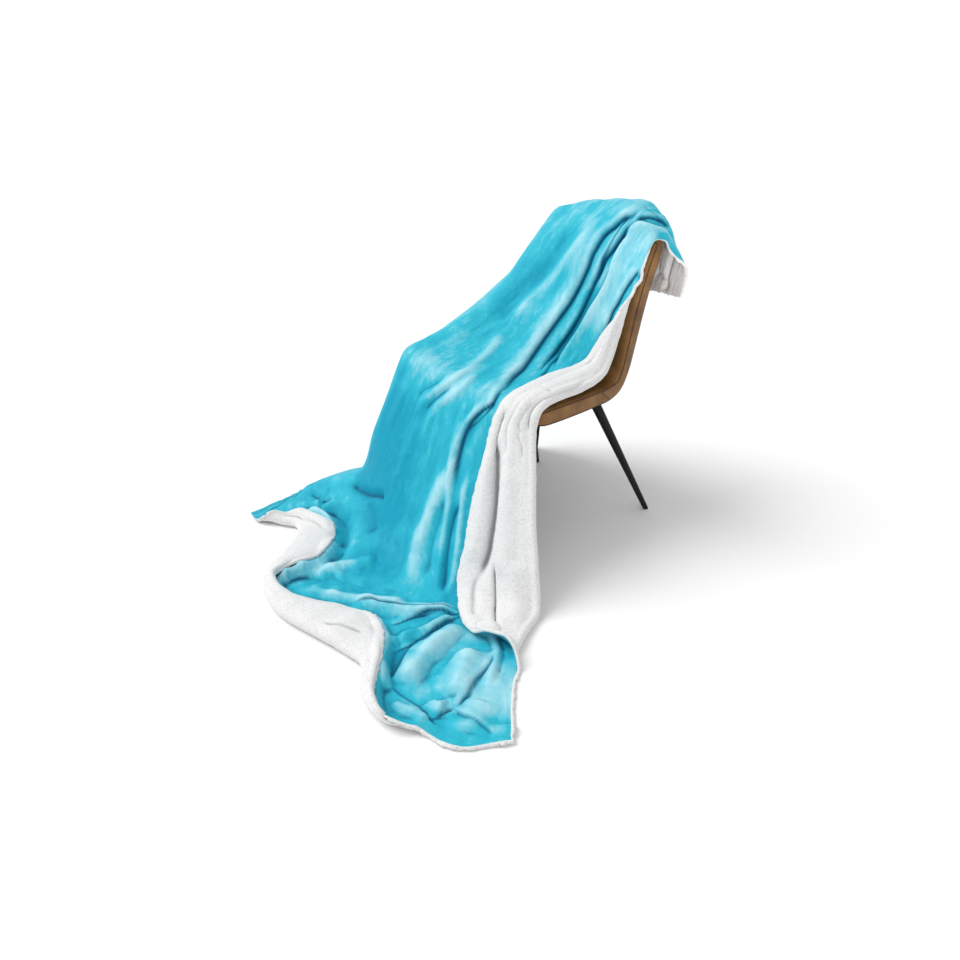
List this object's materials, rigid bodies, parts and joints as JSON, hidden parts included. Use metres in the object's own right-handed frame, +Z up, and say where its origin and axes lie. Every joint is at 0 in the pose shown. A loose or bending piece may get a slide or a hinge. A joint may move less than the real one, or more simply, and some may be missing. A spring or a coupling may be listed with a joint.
{
  "type": "fleece throw draped over a dining chair",
  "caption": "Plush fleece throw with a sherpa reverse, draped over a moulded dining chair, its hem turned up on the floor.",
  "frame": {"origin": "middle of the bounding box, on the floor that the chair's feet and the throw's hem rest on", "axes": "+Z up; the chair faces -Y, so the throw spreads over the floor towards -Y; +X is the sitter's left, the side where the reverse is turned out"},
  "size_m": [1.3724, 1.392, 0.9401],
  "materials": {
    "plush": "brushed plush pile, soft sheen",
    "sherpa": "curly sherpa pile, matte",
    "leather": "satin tan leather",
    "steel": "satin black"
  },
  "bodies": {
    "root": {"throw_face": "plush", "throw_backing": "sherpa", "chair_shell": "leather", "leg_plate": "steel", "leg_rear_left": "steel", "leg_rear_right": "steel", "leg_front_left": "steel", "leg_front_right": "steel"}
  },
  "joints": []
}
